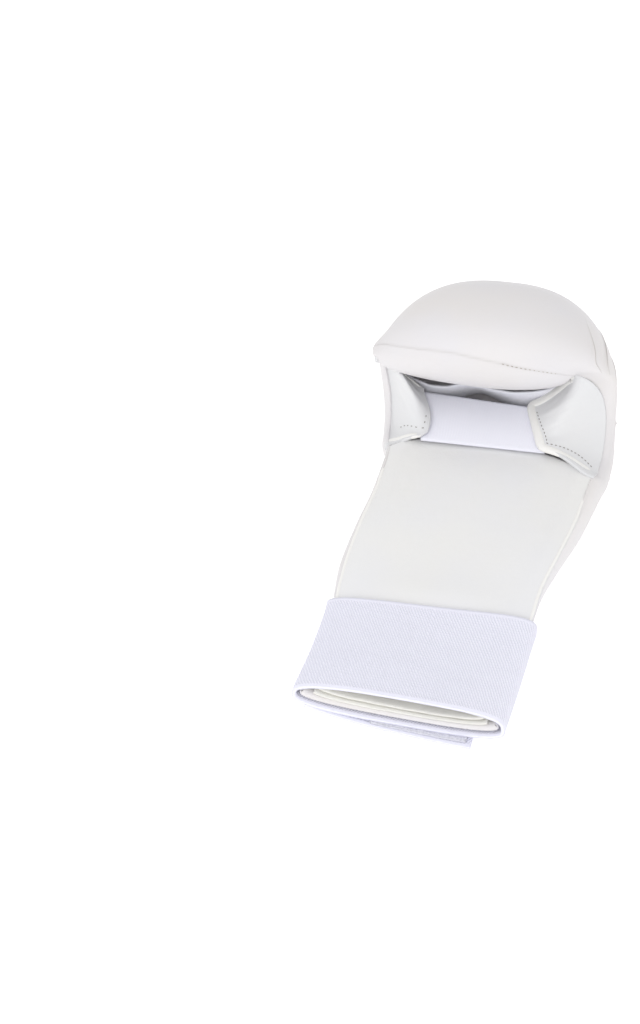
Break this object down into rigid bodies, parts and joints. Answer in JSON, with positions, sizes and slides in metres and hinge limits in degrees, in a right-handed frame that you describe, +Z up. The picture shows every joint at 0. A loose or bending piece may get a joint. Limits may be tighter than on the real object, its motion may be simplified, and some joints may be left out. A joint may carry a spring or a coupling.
{
  "type": "karate glove",
  "caption": "Padded right-hand karate glove: foam back curled over the fingers, leather palm panel, gathered side tabs with an elastic palm strap, and a wide elastic cuff.",
  "frame": {"origin": "on the flat patch of the padded back that the glove lies on, under the back of the hand", "axes": "+Y from the wrist to the knuckles, +X to the thumb side, +Z up out of the palm"},
  "size_m": [0.1182, 0.2365, 0.0943],
  "materials": {
    "white_leather": "soft satin imitation leather",
    "elastic": "woven elastic webbing",
    "hook_tape": "hook tape",
    "patch": "smooth imitation leather",
    "satin": "woven satin tape"
  },
  "bodies": {
    "root": {"padded_shell": "white_leather", "palm_panel": "white_leather", "thumb_tab": "white_leather", "pinky_tab": "white_leather", "palm_strap": "elastic", "finger_elastic": "elastic", "wrist_band": "elastic", "band_tail": "elastic", "hook_strip": "hook_tape", "label_patch": "patch", "size_tag": "satin"}
  },
  "joints": []
}
